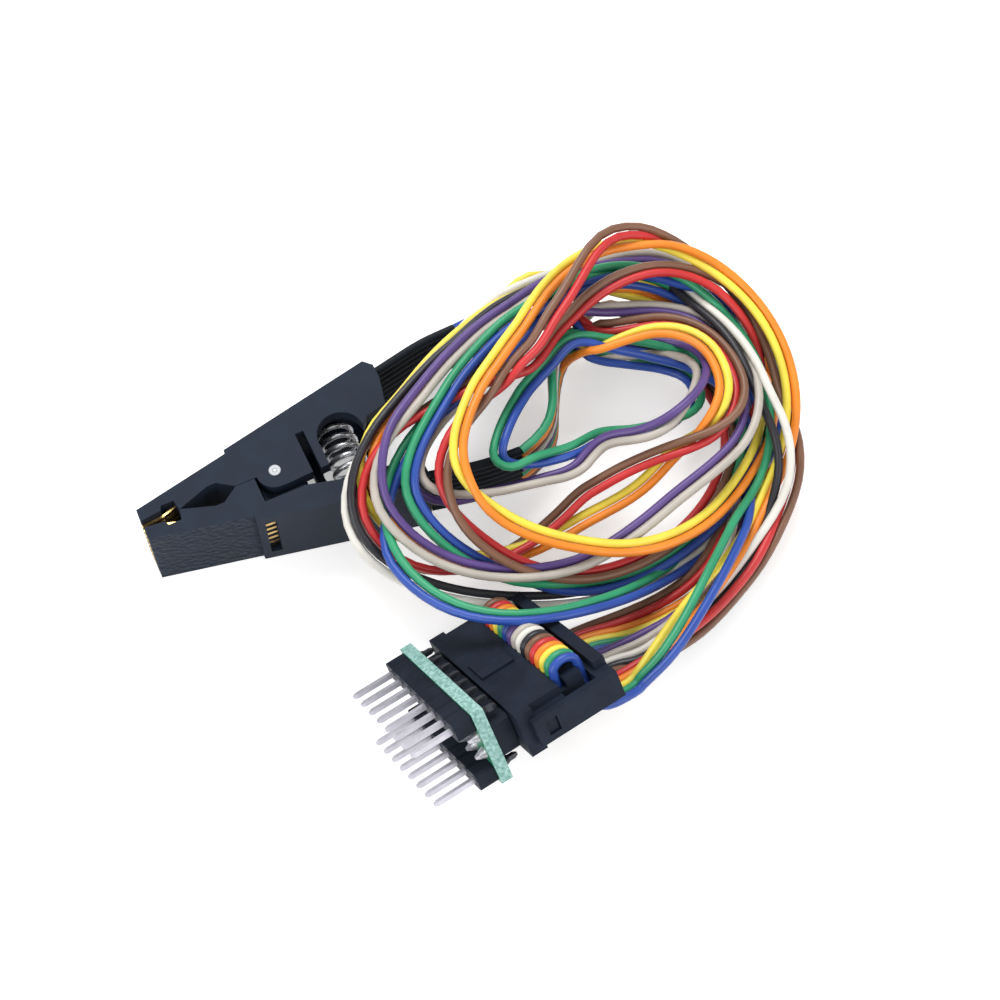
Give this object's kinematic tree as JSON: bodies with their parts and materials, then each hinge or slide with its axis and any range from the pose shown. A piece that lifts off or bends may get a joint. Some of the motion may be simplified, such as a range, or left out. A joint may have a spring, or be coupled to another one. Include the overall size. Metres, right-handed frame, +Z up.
{
  "type": "ic test clip",
  "caption": "Spring-loaded test clip for a surface-mount chip, with a split rainbow cable to a ribbon socket on a small adapter board with two rows of plug pins.",
  "frame": {"origin": "where the axis of the clip's pivot pin meets the surface that the clip lies on", "axes": "+X along the clip from the jaws to the handles, +Y to the upper (turning) lever, +Z up along the pivot"},
  "size_m": [0.0902, 0.077, 0.023],
  "materials": {
    "lever_plastic": "fine-grained moulded nylon",
    "pin_steel": "ground end",
    "spring_steel": "bright wire",
    "contact_gold": "gold plated",
    "sleeve": "heat-shrink, satin",
    "board": "solder mask over laminate",
    "header_plastic": "moulded",
    "socket_plastic": "moulded, fine grain",
    "pin_tin": "tin plated, satin",
    "solder": "smooth solder",
    "wire_brown": "soft insulation",
    "wire_red": "soft insulation",
    "wire_orange": "soft insulation",
    "wire_yellow": "soft insulation",
    "wire_green": "soft insulation",
    "wire_blue": "soft insulation",
    "wire_violet": "soft insulation",
    "wire_gray": "soft insulation",
    "wire_white": "soft insulation",
    "wire_black": "soft insulation"
  },
  "bodies": {
    "lower_half": {"lower_lever": "lever_plastic", "pivot_pin": "pin_steel", "lever_spring": "spring_steel", "lower_contact_1": "contact_gold", "lower_contact_2": "contact_gold", "lower_contact_3": "contact_gold", "lower_contact_4": "contact_gold", "lower_contact_5": "contact_gold", "lower_contact_6": "contact_gold", "lower_contact_7": "contact_gold", "lower_contact_8": "contact_gold", "lower_sleeve_1": "sleeve", "lower_sleeve_2": "sleeve", "lower_sleeve_3": "sleeve", "lower_sleeve_4": "sleeve", "lower_sleeve_5": "sleeve", "lower_sleeve_6": "sleeve", "lower_sleeve_7": "sleeve", "lower_sleeve_8": "sleeve", "lower_tails": "wire_violet", "upper_tails": "wire_red", "wire_coil": "wire_yellow", "wire_pair_1": "wire_brown", "wire_pair_2": "wire_orange", "wire_pair_3": "wire_green", "wire_pair_4": "wire_violet", "wire_pair_5": "wire_white", "wire_pair_6": "wire_red", "wire_pair_7": "wire_yellow", "wire_pair_8": "wire_blue", "ribbon_fold": "wire_blue", "socket_body": "socket_plastic", "socket_cover": "socket_plastic", "strain_relief": "socket_plastic", "socket_contacts": "contact_gold"},
    "upper_half": {"upper_lever": "lever_plastic", "upper_contact_1": "contact_gold", "upper_contact_2": "contact_gold", "upper_contact_3": "contact_gold", "upper_contact_4": "contact_gold", "upper_contact_5": "contact_gold", "upper_contact_6": "contact_gold", "upper_contact_7": "contact_gold", "upper_contact_8": "contact_gold", "upper_sleeve_1": "sleeve", "upper_sleeve_2": "sleeve", "upper_sleeve_3": "sleeve", "upper_sleeve_4": "sleeve", "upper_sleeve_5": "sleeve", "upper_sleeve_6": "sleeve", "upper_sleeve_7": "sleeve", "upper_sleeve_8": "sleeve"},
    "adapter": {"adapter_board": "board", "plug_base_1": "header_plastic", "plug_base_2": "header_plastic", "plug_pins_1": "pin_tin", "plug_pins_2": "pin_tin", "socket_header_base": "header_plastic", "socket_header_pins": "pin_tin", "solder_joints": "solder"}
  },
  "joints": [
    {"name": "jaw_open", "type": "hinge", "parent": "lower_half", "child": "upper_half", "pos_m": [0, 0, 0], "axis": [0, 0, -1], "range_deg": [0, 18], "stiffness_Nm_per_rad": 0.05, "springref_deg": -40.11, "deforming": ["lever_spring", "upper_tails"]},
    {"name": "adapter_pull", "type": "slide", "parent": "lower_half", "child": "adapter", "axis": [-0.9895, -0.1444, 0], "range_m": [0, 0.008]}
  ]
}
